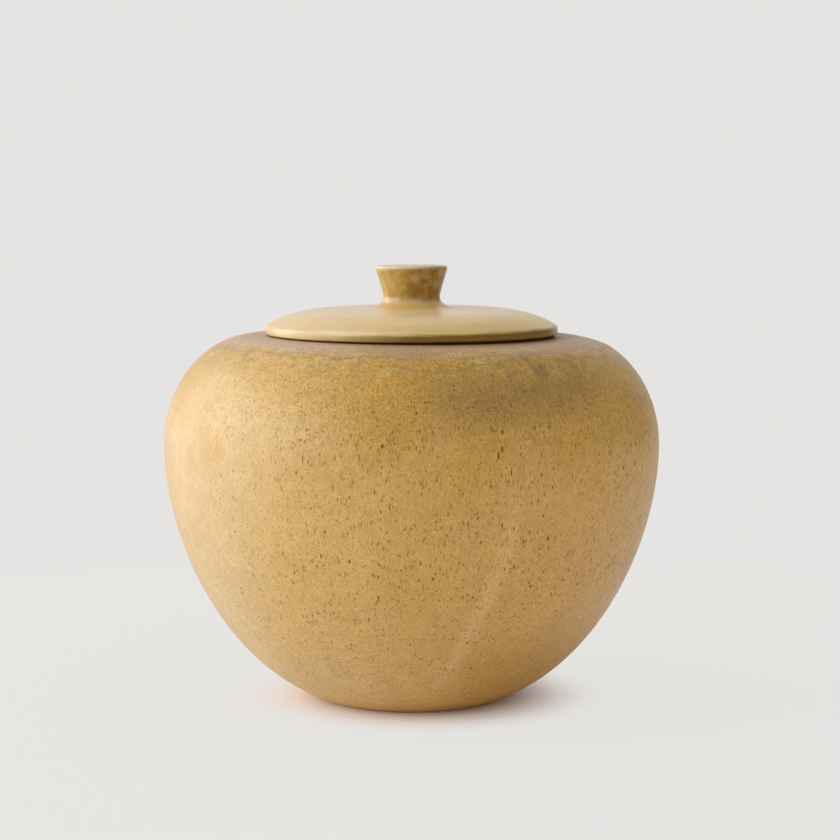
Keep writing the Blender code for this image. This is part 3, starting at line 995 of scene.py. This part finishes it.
def pooled_knob(tree, at, colour):
    """Ochre blotched with brown up the knob from its joint, darker to the right as painted shade.

    The lip is pale where the glaze wore thin over it, and brighter at the left as a painted highlight.
    """
    above_joint = add(tree, "Math", {0: at.height, 1: JOINT_HEIGHT / MM}, operation="SUBTRACT")[0]
    above_lip = add(tree, "Math", {0: at.height, 1: KNOB_HEIGHT / MM}, operation="SUBTRACT")[0]
    blotches = mottle(tree, at.place, BLOTCH_SIZE, BLOTCH_LEAST_SHARE, BLOTCH_MOST_SHARE, RICH_DETAIL)
    # painted shade: blotches darker towards the right
    painted_knob_shade = graded(tree, 1, (at.x, KNOB_SHADE_FADE))
    blotches = add(tree, "Math", {0: blotches, 1: painted_knob_shade}, use_clamp=True)[0]
    pooled = laid_over(tree, linear(KNOB_OCHRE), [(blotches, linear(KNOB_DARK))])
    knob = region(tree, 1, (above_joint, POOL_SPAN))
    corner = region(tree, CORNER_SHARE, (above_joint, CORNER_FOOT_SPAN), (above_joint, CORNER_TOP_SPAN))
    # pale lip: thin glaze, and a painted highlight fading towards the right
    thin_lip_and_highlight = graded(tree, region(tree, 1, (above_lip, LIP_SPAN)), (at.x, LIP_HIGHLIGHT_FADE))
    stains = [
        (knob, pooled),
        (corner, linear(KNOB_OCHRE)),
        (smear(tree, at.place, *KNOB_SMEAR), linear(KNOB_DARK)),
        (thin_lip_and_highlight, linear(STRAW_THIN)),
    ]
    return laid_over(tree, colour, stains)


def straw_glaze():
    """Glossy straw glaze, brushed on the wheel over the lid and its knob.

    The eye sees a pale straw dome with faint rings, greener where the glaze thins towards the ridge and the
    band, and a darker, mottled ochre on the knob, where it pooled. Painted shade deepens the rim, the band
    and the knob towards the right, and painted highlights run along the ridge and the knob's lip at the
    left.
    """
    material, tree, shader, place = blank("straw_gloss_glaze", GLOSS_ROUGHNESS)
    at = around(tree, place)
    at.rings = ringed(tree, at.flat, LID_RING_SHARE, at.radius)
    at.bands = ringed(tree, at.flat, LID_RING_SHARE, at.height)
    colour = pooled_knob(tree, at, straw_dome(tree, at))
    colour = toned(tree, colour, [(at.rings, RING_TONE), (at.bands, BAND_TONE), (place, STRAW_TONE)])
    dots = specks(tree, place, STRAW_DOTS, 1, STRAW_DOT_SHARE)
    colour = laid_over(tree, colour, [(dots, linear(IRON))])
    tree.links.new(colour, shader.inputs["Base Color"])
    roughen(tree, shader, mottle(tree, at.rings, LID_SKIN_SIZE, 0, 1), SKIN_DEPTH)
    return material


def bare_stoneware():
    """Fired stoneware, bare where pieces touch and the jar stands: matt, toasted, with grains of grog."""
    material, tree, shader, place = blank("bare_stoneware", CLAY_ROUGHNESS)
    clouds = mottle(tree, place, CLAY_CLOUD_SIZE, 0, CLAY_CLOUD_SHARE)
    grains = specks(tree, place, GROG_DOTS, 1, 1)
    colour = laid_over(tree, linear(CLAY), [(clouds, linear(GROG)), (grains, linear(GROG))])
    tree.links.new(colour, shader.inputs["Base Color"])
    roughen(tree, shader, mottle(tree, place, GRIT_SIZE, 0, 1), GRIT_DEPTH)
    return material


def liner_glaze():
    """Smooth food-safe glaze poured round the inside: glossier and paler than outside, with few specks."""
    material, tree, shader, place = blank("poured_liner_glaze", LINER_ROUGHNESS)
    colour = toned(tree, linear(LINER)[:3], [(place, LINER_TONE)])
    dots = specks(tree, place, LINER_DOTS, 1, LINER_DOT_SHARE)
    colour = laid_over(tree, colour, [(dots, linear(IRON))])
    tree.links.new(colour, shader.inputs["Base Color"])
    return material


def seen_ray(tree):
    """1 for rays by which the camera, a gloss or glass sees a surface, and 0 for those that light it."""
    path = add(tree, "LightPath")
    seen = add(tree, "Math", {0: path["Is Camera Ray"], 1: path["Is Glossy Ray"]}, operation="MAXIMUM")[0]
    return add(tree, "Math", {0: seen, 1: path["Is Transmission Ray"]}, operation="MAXIMUM")[0]


def paper_floor():
    """A pale paper sweep that fades into the backdrop with the distance from the jar, so no edge shows.

    To the eye it turns from shaded paper into the backdrop's own colour as it leaves the foot, a little
    later at the right. To what it lights, its left half glows like paper under the window.
    """
    mesh = bpy.data.meshes.new("paper_floor")
    half = FLOOR_SIZE / 2
    corners = [(-half, -half, 0), (half, -half, 0), (half, half, 0), (-half, half, 0)]
    mesh.from_pydata(corners, [], [(0, 1, 2, 3)])
    material, tree, shader, _ = blank("pale_paper", 1)
    shader.inputs["Base Color"].default_value = linear(FLOOR_COLOUR)
    shader.inputs["Specular IOR Level"].default_value = 0

    place = add(tree, "TexCoord")["Object"]
    side = add(tree, "SeparateXYZ", {0: place})["X"]
    away = add(tree, "VectorMath", {0: place}, operation="LENGTH")["Value"]
    past_shade = add(tree, "VectorMath", {0: place, 1: (SHADE_SHIFT, 0, 0)}, operation="DISTANCE")["Value"]
    lift = region(tree, SHADE_LIFT_SHARE, (past_shade, SHADE_SPAN))
    lift = add(tree, "Math", {0: lift, 1: region(tree, 1, (away, LEVEL_SPAN))}, operation="MAXIMUM")[0]
    seen = seen_ray(tree)
    lift = add(tree, "Math", {0: lift, 1: seen}, operation="MULTIPLY")[0]
    unseen = add(tree, "Math", {0: 1, 1: seen}, operation="SUBTRACT")[0]
    glow = region(tree, unseen, (side, GLOW_SIDE_SPAN), (away, GLOW_NEAR_SPAN))
    lift = add(tree, "Math", {0: lift, 1: glow}, operation="MAXIMUM")[0]
    paper = add(tree, "Emission", {"Color": linear(BACKDROP)})[0]
    lifted = add(tree, "MixShader", {0: lift, 1: shader.outputs[0], 2: paper})[0]
    clear = add(tree, "BsdfTransparent")[0]
    faded = add(tree, "MixShader", {0: region(tree, 1, (away, FADE_SPAN)), 1: lifted, 2: clear})[0]
    tree.links.new(faded, tree.nodes["Material Output"].inputs["Surface"])

    mesh.materials.append(material)
    floor = bpy.data.objects.new("paper_floor", mesh)
    bpy.context.scene.collection.objects.link(floor)


def studio_air():
    """The world: the backdrop's colour to the eye, and a plain soft fill to all else.

    A gloss sees the backdrop behind the jar, and on the camera's side a dimmer room.
    """
    world = bpy.data.worlds.new("studio")
    world.use_nodes = True
    tree = world.node_tree
    shown = add(tree, "Background", {"Color": linear(BACKDROP), "Strength": 1})[0]
    fill = add(tree, "Background", {"Color": linear(WHITE), "Strength": FILL_LIGHT})[0]
    room = add(tree, "Background", {"Color": linear(BACKDROP), "Strength": ROOM_LIGHT})[0]
    facing = add(tree, "TexCoord")["Generated"]
    ahead = add(tree, "VectorMath", {0: facing, 1: AWAY_FROM_ROOM}, operation="DOT_PRODUCT")["Value"]
    mirrored = add(tree, "MixShader", {0: region(tree, 1, (ahead, ROOM_SPAN)), 1: room, 2: shown})[0]
    both = add(tree, "MixShader", {0: seen_ray(tree), 1: fill, 2: shown})[0]
    both = add(tree, "MixShader", {0: add(tree, "LightPath")["Is Glossy Ray"], 1: both, 2: mirrored})[0]
    tree.links.new(both, tree.nodes["World Output"].inputs["Surface"])
    bpy.context.scene.world = world


def left_window():
    """A large window at the left: a flat lamp at a distance from the jar's middle, which it faces."""
    lamp = bpy.data.lights.new("left_window", "AREA")
    lamp.shape = "RECTANGLE"
    lamp.size = WINDOW_WIDTH
    lamp.size_y = WINDOW_HEIGHT
    lamp.energy = WINDOW_POWER
    holder = bpy.data.objects.new("left_window", lamp)
    holder.rotation_euler = (math.radians(90 - WINDOW_RISE), 0, math.radians(WINDOW_TURN + 90))
    outwards = holder.rotation_euler.to_matrix().col[2]
    holder.location = outwards * WINDOW_DISTANCE
    holder.location.z += BELLY_HEIGHT
    bpy.context.scene.collection.objects.link(holder)


def camera():
    """The photograph's view: from the front, a little above the lid, with a long lens."""
    lens = bpy.data.cameras.new("camera")
    lens.lens = LENS
    lens.shift_x = VIEW_SHIFT
    holder = bpy.data.objects.new("camera", lens)
    holder.location = (0, -CAMERA_DISTANCE, CAMERA_HEIGHT)
    holder.rotation_euler = (math.radians(90 - CAMERA_PITCH), 0, 0)
    bpy.context.scene.collection.objects.link(holder)
    bpy.context.scene.camera = holder


camera()
clay = bare_stoneware()
liner = liner_glaze()
straw = straw_glaze()
body_finishes = {"glaze": speckled_glaze(), "liner": liner, "clay": clay}
lid_finishes = {"glaze": straw, "liner": liner, "clay": clay}
knob_finishes = {"glaze": straw}
body_place = ("jar", "jar_body", "speckled_glaze")
lid_place = ("lid", "lid", "lid_glaze")
knob_place = ("lid", "lid_knob", "knob_glaze")
turned("thrown_body", body_stretches(), BODY_TURNS, body_marks, body_finishes, *body_place)
turned("thrown_lid", lid_stretches(), LID_TURNS, lid_marks, lid_finishes, *lid_place)
turned("turned_knob", knob_stretches(), KNOB_TURNS, knob_marks, knob_finishes, *knob_place)

paper_floor()
studio_air()
left_window()
bpy.context.scene.view_settings.view_transform = "Standard"
